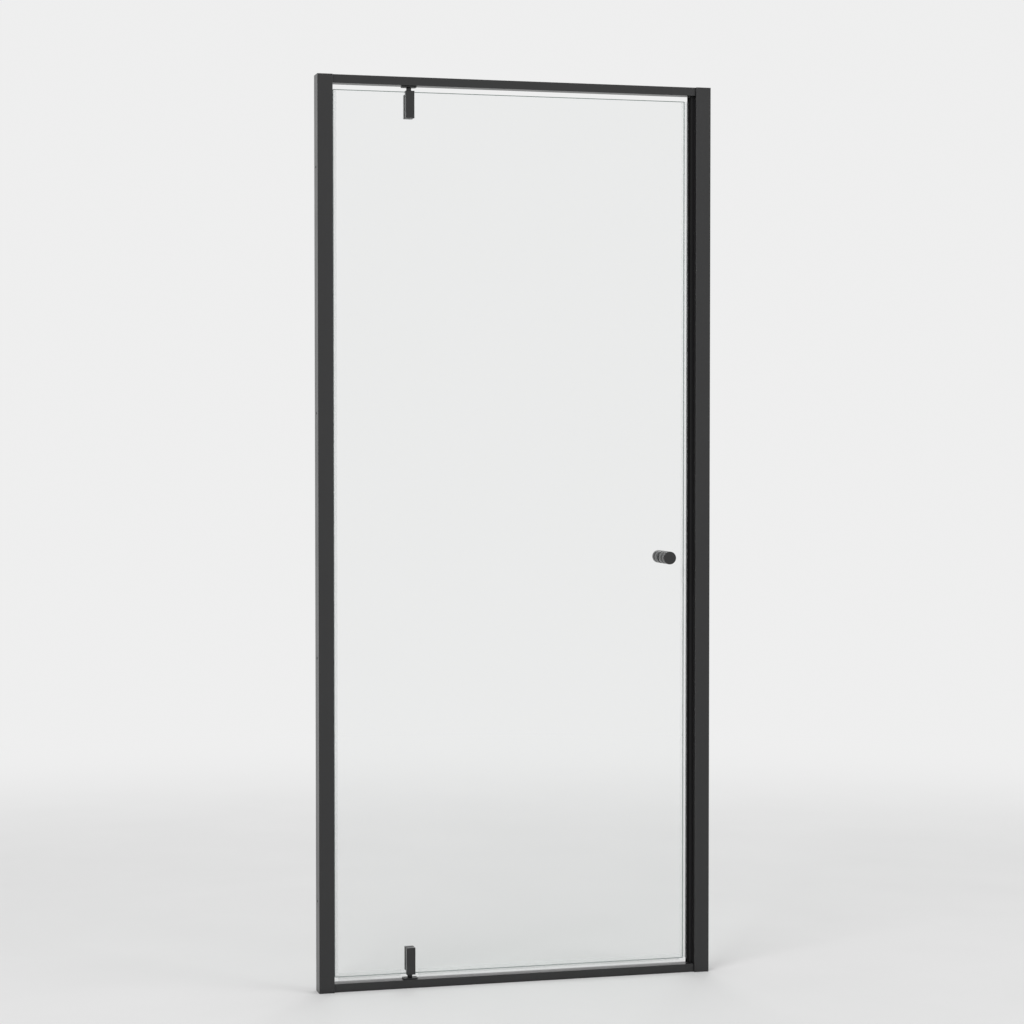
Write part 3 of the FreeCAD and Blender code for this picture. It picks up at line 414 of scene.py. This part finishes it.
MOULDED_BLACK = (0.014, 0.014, 0.0145, 1)
STEEL_GREY = (0.55, 0.55, 0.53, 1)
JAMB_SCREW = {
    "Shank Diameter": 3.5, "Shank Length": 8, "Head Diameter": 8, "Head Height": 2.4,
    "Rim": 1.6, "Recess": 2.8, "Recess Depth": 1.4,
}
LOCK_X, LOCK_HEIGHTS = 417, (150, 975, 1800)
CHANNEL_BACK = 19
SCREW_SIDES, RIM_STEPS = 48, 4
HEXAGON, STAR = 0.0, 1.0        # kinds of recess
LOBE = 0.14                     # how far a star's lobes stand out, as a share of its size
SCREW_SMOOTH = 30               # degrees, as for the other pieces


def recessed_screws_tree():
    """Screws of one kind at the points of a mesh, each turned at random on its own axis.

    A disc is drawn out into shank, seat, head and rim, and its last face is pushed in as a
    recess: a hexagon, or with Star at 1 a six-lobed one.
    """
    tree, given, result = new_tree("GeometryNodeTree", "recessed_screws", (
        ("Points", "Geometry"),
        ("Shank Diameter", "Float"), ("Shank Length", "Float"),
        ("Head Diameter", "Float"), ("Head Height", "Float"), ("Rim", "Float"),
        ("Recess", "Float"), ("Recess Depth", "Float"), ("Star", "Float"),
        ("Seed", "Int"), ("Material", "Material"),
    ), (("Geometry", "Geometry"),))
    size = given.outputs

    def upwards(height):
        return wire(tree, "ShaderNodeCombineXYZ", {"Z": height}).outputs[0]

    def drawn(shape, face, height):
        made = wire(tree, "GeometryNodeExtrudeMesh", {
            "Mesh": shape, "Selection": face, "Offset": upwards(height),
            "Offset Scale": 1.0, "Individual": False})
        return made.outputs["Mesh"], made.outputs["Top"]

    def widened(shape, face, factor):
        made = wire(tree, "GeometryNodeScaleElements", {
            "Geometry": shape, "Selection": face, "Scale": factor}, domain="FACE")
        return made.outputs[0]

    disc = wire(tree, "GeometryNodeMeshCircle", {
        "Vertices": SCREW_SIDES,
        "Radius": math_node(tree, "MULTIPLY", size["Shank Diameter"], 0.5)},
        fill_type="NGON")
    start = wire(tree, "GeometryNodeTransform", {
        "Geometry": disc.outputs[0],
        "Translation": upwards(math_node(tree, "MULTIPLY", size["Shank Length"], -1.0)),
    }).outputs[0]
    shape, face = drawn(start, True, size["Shank Length"])
    shape, face = drawn(shape, face, 0.0)
    shape = widened(shape, face, math_node(
        tree, "DIVIDE", size["Head Diameter"], size["Shank Diameter"]))
    shape, face = drawn(shape, face, math_node(
        tree, "SUBTRACT", size["Head Height"], size["Rim"]))

    # the rim is a quarter round in a few steps
    low, wide = 0.0, size["Head Diameter"]
    for step in range(1, RIM_STEPS + 1):
        turn = step * math.pi / 2 / RIM_STEPS
        shape, face = drawn(shape, face, math_node(
            tree, "MULTIPLY", size["Rim"], math.sin(turn) - low))
        narrower = math_node(tree, "SUBTRACT", size["Head Diameter"], math_node(
            tree, "MULTIPLY", size["Rim"], 2 * (1 - math.cos(turn))))
        shape = widened(shape, face, math_node(tree, "DIVIDE", narrower, wide))
        low, wide = math.sin(turn), narrower

    # the recess's outline: how far it lies from the axis at each angle
    shape, face = drawn(shape, face, 0.0)
    spot = wire(tree, "GeometryNodeInputPosition").outputs[0]
    parts = wire(tree, "ShaderNodeSeparateXYZ", {0: spot}).outputs
    angle = math_node(tree, "ARCTAN2", parts["Y"], parts["X"])
    sixth = math.tau / 6
    sector = math_node(tree, "SUBTRACT", math_node(
        tree, "FLOORED_MODULO", math_node(tree, "ADD", angle, sixth / 2), sixth), sixth / 2)
    half = math_node(tree, "MULTIPLY", size["Recess"], 0.5)
    hexagon = math_node(tree, "DIVIDE", half, math_node(tree, "COSINE", sector))
    lobes = math_node(tree, "COSINE", math_node(tree, "MULTIPLY", angle, 6.0))
    star = math_node(tree, "MULTIPLY", half, math_node(
        tree, "MULTIPLY_ADD", lobes, LOBE, 1.0))
    reach = wire(tree, "ShaderNodeMix", {
        "Factor": size["Star"], 2: hexagon, 3: star}).outputs[0]
    flat = wire(tree, "ShaderNodeCombineXYZ", {"X": parts["X"], "Y": parts["Y"]}).outputs[0]
    outwards = wire(tree, "ShaderNodeVectorMath", {0: flat}, operation="NORMALIZE").outputs[0]
    around = wire(tree, "ShaderNodeVectorMath", {0: outwards, "Scale": reach},
                  operation="SCALE").outputs[0]
    target = wire(tree, "ShaderNodeVectorMath", {
        0: around, 1: upwards(parts["Z"])}, operation="ADD").outputs[0]
    shape = wire(tree, "GeometryNodeSetPosition", {
        "Geometry": shape, "Selection": face, "Position": target}).outputs[0]
    shape, face = drawn(shape, face, math_node(
        tree, "MULTIPLY", size["Recess Depth"], -1.0))

    # close the shank's end, then place a screw at every point along its own direction
    end = wire(tree, "GeometryNodeFlipFaces", {"Mesh": start}).outputs[0]
    joined = wire(tree, "GeometryNodeJoinGeometry")
    for part in (shape, end):
        tree.links.new(part, joined.inputs[0])
    whole = wire(tree, "GeometryNodeMergeByDistance", {
        "Geometry": joined.outputs[0], "Distance": SAME_PLACE}).outputs[0]
    facing = wire(tree, "GeometryNodeInputNamedAttribute", {"Name": "facing"},
                  data_type="FLOAT_VECTOR").outputs[0]
    aimed = wire(tree, "FunctionNodeAlignRotationToVector", {"Vector": facing},
                 axis="Z").outputs[0]
    turn = wire(tree, "FunctionNodeRandomValue", {
        2: 0.0, 3: math.tau, "Seed": size["Seed"]}, data_type="FLOAT").outputs[1]
    twist = wire(tree, "FunctionNodeAxisAngleToRotation", {
        "Axis": (0, 0, 1), "Angle": turn}).outputs[0]
    turned = wire(tree, "FunctionNodeRotateRotation", {
        "Rotation": aimed, "Rotate By": twist}, rotation_space="LOCAL").outputs[0]
    placed = wire(tree, "GeometryNodeInstanceOnPoints", {
        "Points": size["Points"], "Instance": whole, "Rotation": turned}).outputs[0]
    real = wire(tree, "GeometryNodeRealizeInstances", {0: placed}).outputs[0]
    done = wire(tree, "GeometryNodeSetMaterial", {
        "Geometry": real, "Material": size["Material"]}).outputs[0]
    tree.links.new(done, result.inputs[0])
    return tree


RECESSED_SCREWS = recessed_screws_tree()


def run_tree(piece, tree, values):
    """Run a geometry tree on a piece with values by name, and keep the mesh it makes."""
    modifier = piece.modifiers.new(tree.name, "NODES")
    modifier.node_group = tree
    for item in tree.interface.items_tree:
        if item.in_out == "INPUT" and item.name in values:
            modifier[item.identifier] = values[item.name]
    settle(piece)


def set_screws(node, spots, sizes, recess, seed, material, slot):
    """Stand in for a node of screws: where their heads seat, and the way each head faces."""
    points = bpy.data.meshes.new(f"{node}_cut")
    points.from_pydata([[c * MM for c in place] for place, facing in spots], [], [])
    facings = points.attributes.new("facing", "FLOAT_VECTOR", "POINT")
    facings.data.foreach_set("vector", [c for place, facing in spots for c in facing])
    piece = add_object(f"{node}_cut", points)
    values = {title: value * MM for title, value in sizes.items()}
    run_tree(piece, RECESSED_SCREWS, {
        **values, "Star": recess, "Seed": seed, "Material": material})
    smooth_but(piece, SCREW_SMOOTH)
    stand_in(piece, node, slot)


moulded_plastic = grained_material(
    "moulded_black_plastic", MOULDED_BLACK, 0.25 * MM, 0.48, 0.02 * MM,
    Specular_IOR_Level=0.4)
plain_steel = grained_material(
    "stainless_steel", STEEL_GREY, 0.3 * MM, 0.28, 0.008 * MM, Metallic=1.0)
for node in ("jamb_profile_left", "jamb_profile_right"):
    eased(node, 0.25, powder_coat, "black_aluminium")
for node in ("channel_cap_left", "channel_cap_right"):
    eased(node, 0.3, moulded_plastic, "black_plastic")
eased("screw_caps", 0, moulded_plastic, "black_plastic")
set_screws("jamb_screws", [
    ((x, CHANNEL_BACK, z), (0, 1, 0)) for x in (-LOCK_X, LOCK_X) for z in LOCK_HEIGHTS],
    JAMB_SCREW, STAR, 1, plain_steel, "stainless_steel")


# ------------------------------------------------------------------ rails
# The top rail and the threshold are one hollow extrusion, cut to length and coated, and
# held by stainless screws from inside the jambs. The leaf's bushes sit in them.

CORNER_SCREW = {
    "Shank Diameter": 3.8, "Shank Length": 24, "Head Diameter": 7, "Head Height": 2.4,
    "Rim": 1.4, "Recess": 2.6, "Recess Depth": 1.4,
}
JAMB_SEAT, PORT_Y, PORT_HEIGHTS = 406.4, 9.4, (9, 1941)

for node in ("top_rail", "threshold_rail"):
    eased(node, 0.2, powder_coat, "black_aluminium")
set_screws("corner_screws", [
    ((side * JAMB_SEAT, y, z), (side, 0, 0))
    for side in (-1, 1) for y in (-PORT_Y, PORT_Y) for z in PORT_HEIGHTS],
    CORNER_SCREW, STAR, 2, plain_steel, "stainless_steel")


# ------------------------------------------------------------------ strike profile
# A slim L-shaped extrusion, held from inside by three screws. Its black is deeper than the
# coat
# of the jamb that carries it: painted shade of the recess between the leaf and the jamb. A
# black magnetic strip is stuck along its tip, and the rib behind the leaf stops it when it
# closes.

# painted shade: the strike's colour is darker than the coat's, standing for the shade in the
# recess
RECESS_SHADE_BLACK = (0.008, 0.008, 0.0085, 1)
SOFT_BLACK = (0.006, 0.006, 0.006, 1)
STRIKE_SCREW = {
    "Shank Diameter": 3.5, "Shank Length": 5, "Head Diameter": 6.5, "Head Height": 2.2,
    "Rim": 1.2, "Recess": 2.4, "Recess Depth": 1.3,
}
STRIKE_SCREW_Y, STRIKE_HEIGHTS = 1.05, (120, 975, 1830)


def finish_node(node, material):
    """Give a CAD node that stays a better material."""
    for holder in frame["nodes"][node].material_slots:
        holder.material = material


# painted shade: a deeper black and a weaker specular than the coat stand for the recess's
# shade
painted_shade_strike_finish = grained_material(
    "strike_black_painted_recess_shade", RECESS_SHADE_BLACK, 0.25 * MM, 0.36, 0.01 * MM,
    Specular_IOR_Level=0.25)
magnet_rubber = grained_material(
    "magnetic_rubber", SOFT_BLACK, 0.3 * MM, 0.75, 0.015 * MM, Specular_IOR_Level=0.1)
eased("strike_profile", 0.2, painted_shade_strike_finish, "black_aluminium")
set_screws("strike_screws", [
    ((JAMB_SEAT, STRIKE_SCREW_Y, z), (1, 0, 0)) for z in STRIKE_HEIGHTS],
    STRIKE_SCREW, STAR, 3, plain_steel, "stainless_steel")
finish_node("strike_magnet", magnet_rubber)


# ------------------------------------------------------------------ pivot bushes
# Black moulded flanges with a bearing sleeve, let into the rails. Two small blackened
# screws with six-lobed recesses hold each of them.

BLACKENED = (0.022, 0.022, 0.023, 1)
BUSH_SCREW = {
    "Shank Diameter": 3.5, "Shank Length": 7, "Head Diameter": 6, "Head Height": 1.8,
    "Rim": 0.3, "Recess": 2.6, "Recess Depth": 1.1,
}
PIVOT_X, BUSH_SCREW_ASIDE = -236.5, 11.5
BUSH_SEATS = (19, 1), (1931, -1)           # height, and the way that the heads face

black_steel = grained_material(
    "blackened_steel", BLACKENED, 0.2 * MM, 0.34, 0.008 * MM, Metallic=0.6)
for node in ("pivot_bush_top", "pivot_bush_bottom"):
    eased(node, 0.25, moulded_plastic, "black_plastic", band=0.4)
set_screws("bush_screws", [
    ((PIVOT_X + aside, 0, z), (0, 0, way))
    for aside in (-BUSH_SCREW_ASIDE, BUSH_SCREW_ASIDE) for z, way in BUSH_SEATS],
    BUSH_SCREW, STAR, 4, black_steel, "black_steel")


# ------------------------------------------------------------------ glass
# One pane of clear toughened glass, 6 mm thick, notched and drilled before it went through
# the furnace. Its edges are ground, which leaves them grey, and the furnace's rollers
# leave very faint waves across it.

EDGE_GRIND = 0.6
PANE_FACE_Y = 2.9               # faces with their middles nearer than this are edges
GLASS_TINTS = (0.952, 0.960, 0.957, 1), (0.962, 0.968, 0.966, 1)
PASSING_TINT = (0.92, 0.94, 0.93, 1)
GROUND_GREY = (0.20, 0.25, 0.235, 1)
MOST_HAZE = 0.012
WAVES_PER_METRE, WAVE_DEPTH = 1.1, 0.02 * MM

glass, tree, shader = start_material(
    "toughened_glass", IOR=1.5, Transmission_Weight=1.0, Metallic=0.0)
place = wire(tree, "ShaderNodeTexCoord").outputs["Object"]
film = wire(tree, "ShaderNodeTexNoise", {
    "Vector": place, "Scale": 4.0, "Detail": 3.0}).outputs["Fac"]
tint = wire(tree, "ShaderNodeMix", {
    "Factor": film, 6: GLASS_TINTS[0], 7: GLASS_TINTS[1]}, data_type="RGBA")
haze = wire(tree, "ShaderNodeMapRange", {0: film, "To Min": 0.0, "To Max": MOST_HAZE})
roller = wire(tree, "ShaderNodeTexWave", {
    "Vector": place, "Scale": WAVES_PER_METRE, "Distortion": 0.6}, bands_direction="Z")
wavy = wire(tree, "ShaderNodeBump", {
    "Height": roller.outputs["Fac"], "Distance": WAVE_DEPTH, "Strength": 0.3})
tree.links.new(tint.outputs[2], shader.inputs["Base Color"])
tree.links.new(haze.outputs[0], shader.inputs["Roughness"])
tree.links.new(wavy.outputs["Normal"], shader.inputs["Normal"])
path = wire(tree, "ShaderNodeLightPath").outputs
unseen = math_node(tree, "MAXIMUM", path["Is Shadow Ray"], path["Is Diffuse Ray"])
clear = wire(tree, "ShaderNodeBsdfTransparent", {"Color": PASSING_TINT})
passing = wire(tree, "ShaderNodeMixShader", {
    0: unseen, 1: shader.outputs[0], 2: clear.outputs[0]})
tree.links.new(passing.outputs[0], tree.nodes["Material Output"].inputs["Surface"])

ground_glass = grained_material(
    "ground_glass_edge", GROUND_GREY, 0.5 * MM, 0.38, 0.03 * MM, tone=0.3)
eased("glass_pane", 0, glass, "clear_glass", band=EDGE_GRIND, others=(
    (ground_glass, lambda middle, is_inner: not is_inner or abs(middle.y) < PANE_FACE_Y),))


# ------------------------------------------------------------------ seals
# PVC extrusions pushed over the edges of the glass: clear ones with a fin on the short
# edge and with a drip edge under the glass, and one on the long edge whose hollow tip is
# black, where it holds a magnetic strip.

CLEAR_WHITE = (0.90, 0.92, 0.92, 1)
PVC = {"grain": 0.6 * MM, "depth": 0.01 * MM, "tone": 0.06, "strength": 0.4, "IOR": 1.48}
SEAL_TIP_X = 390.2

clear_pvc = grained_material("clear_pvc", CLEAR_WHITE, roughness=0.12, Alpha=0.10, **PVC)
black_pvc = grained_material(
    "black_pvc", SOFT_BLACK, roughness=0.6, Specular_IOR_Level=0.15, **PVC)
for node in ("pivot_side_seal", "drip_seal_short", "drip_seal_long"):
    eased(node, 0.12, clear_pvc, "clear_seal", band=0.4)
eased("closing_seal", 0.12, clear_pvc, "clear_seal", band=0.4, others=(
    (black_pvc, lambda middle, is_inner: middle.x > SEAL_TIP_X),))
finish_node("closing_magnet", magnet_rubber)


# ------------------------------------------------------------------ pivot clamps
# Pairs of cast plates, coated like the frame, that grip the glass through rubber sheets.
# Two blackened socket screws pull each pair together, with nylon sleeves in the glass.

SHEET_BLACK = (0.012, 0.012, 0.012, 1)
NYLON_WHITE = (0.75, 0.75, 0.70, 1)
CLAMP_SCREW = {
    "Shank Diameter": 5, "Shank Length": 20.1, "Head Diameter": 8.5, "Head Height": 5,
    "Rim": 0.5, "Recess": 4, "Recess Depth": 2.5,
}
CLAMP_SEAT, CLAMP_HEIGHTS = 9.3, (45, 72, 1878, 1905)

fitting_coat = grained_material(
    "satin_black_fittings", SATIN_BLACK, 0.3 * MM, 0.25, 0.015 * MM, Specular_IOR_Level=0.4)
sheet_rubber = grained_material("sheet_rubber", SHEET_BLACK, 0.4 * MM, 0.7, 0.03 * MM)
nylon = grained_material("natural_nylon", NYLON_WHITE, 0.3 * MM, 0.4, 0.01 * MM)
for end in ("top", "bottom"):
    for plate in ("front", "back"):
        eased(f"clamp_{plate}_{end}", 0.25, fitting_coat, "black_fitting")
    finish_node(f"clamp_gaskets_{end}", sheet_rubber)
finish_node("clamp_sleeves", nylon)
set_screws("clamp_screws", [((PIVOT_X, CLAMP_SEAT, z), (0, 1, 0)) for z in CLAMP_HEIGHTS],
           CLAMP_SCREW, HEXAGON, 7, black_steel, "black_steel")


# ------------------------------------------------------------------ pivot pins
# Turned steel pins, blackened. The stub is held in the clamp, the neck shows between the
# clamp and the bush, and the journal turns in the bush.

GLASS_BOTTOM, GLASS_TOP = 30, 1920
PIN_OUTLINE = (
    # radius, distance outwards from the edge of the glass
    (0, -10.5), (2.4, -10.5), (3, -9.9), (3, 1), (5.0, 1), (5.22, 1.08), (5.3, 1.3),
    (5.3, 8.6), (5.22, 8.82), (5.0, 8.9), (4, 8.9), (4, 21.3), (3.4, 21.9), (0, 21.9),
)
TURNED_SMOOTH = 35              # degrees, as for the other pieces


def turned(node, outline, axis, origin, material, slot, steps=64):
    """Stand in for a node with an outline turned about an axis, in millimetres."""
    along = Vector(axis)
    side = along.orthogonal().normalized()
    across = along.cross(side)
    shape = bmesh.new()
    rings = []
    for radius, distance in outline:
        middle = Vector(origin) + along * distance
        around = steps if radius else 1
        rings.append([
            shape.verts.new((
                middle
                + side * (radius * math.cos(math.tau * i / steps))
                + across * (radius * math.sin(math.tau * i / steps))) * MM)
            for i in range(around)
        ])
    for low, high in zip(rings, rings[1:]):
        for i in range(steps):
            j = (i + 1) % steps
            corners = [low[i % len(low)], low[j % len(low)], high[j % len(high)],
                       high[i % len(high)]]
            shape.faces.new(list(dict.fromkeys(corners)))
    bmesh.ops.recalc_face_normals(shape, faces=shape.faces)
    mesh = bpy.data.meshes.new(f"{node}_turned")
    shape.to_mesh(mesh)
    shape.free()
    piece = add_object(f"{node}_turned", mesh)
    smooth_but(piece, TURNED_SMOOTH)
    piece.data.materials.append(material)
    stand_in(piece, node, slot)


for end, way, glass_edge in (("top", 1, GLASS_TOP), ("bottom", -1, GLASS_BOTTOM)):
    turned(f"pivot_pin_{end}", PIN_OUTLINE, (0, 0, way), (PIVOT_X, 0, glass_edge),
           black_steel, "black_steel")


# ------------------------------------------------------------------ knobs
# A pair of knobs turned from brass and coated black, joined through the glass by a stud.
# Each has one groove, and a rubber washer keeps it off the glass.

KNOB_X, KNOB_Z = 338, 920
KNOB_OUTLINE = (
    # radius, distance from the middle of the glass; the first three are the stud's bore
    (0, 19), (4.1, 19), (4.1, 4), (13.6, 4), (13.9, 4.1), (14, 4.4),
    (14, 24.6), (13.93, 24.85), (13.65, 25), (13.15, 25.05), (13, 25.2),
    (13, 26.8), (13.15, 26.95), (13.65, 27), (13.93, 27.15), (14, 27.4),
    (14, 41.5), (13.92, 41.88), (13.71, 42.21), (13.38, 42.42), (13, 42.5), (0, 42.5),
)

for end, side in (("front", -1), ("back", 1)):
    turned(f"knob_{end}", KNOB_OUTLINE, (0, side, 0), (KNOB_X, 0, KNOB_Z),
           fitting_coat, "black_fitting", steps=96)
finish_node("knob_washers", sheet_rubber)
finish_node("knob_sleeve", nylon)
finish_node("knob_stud", plain_steel)
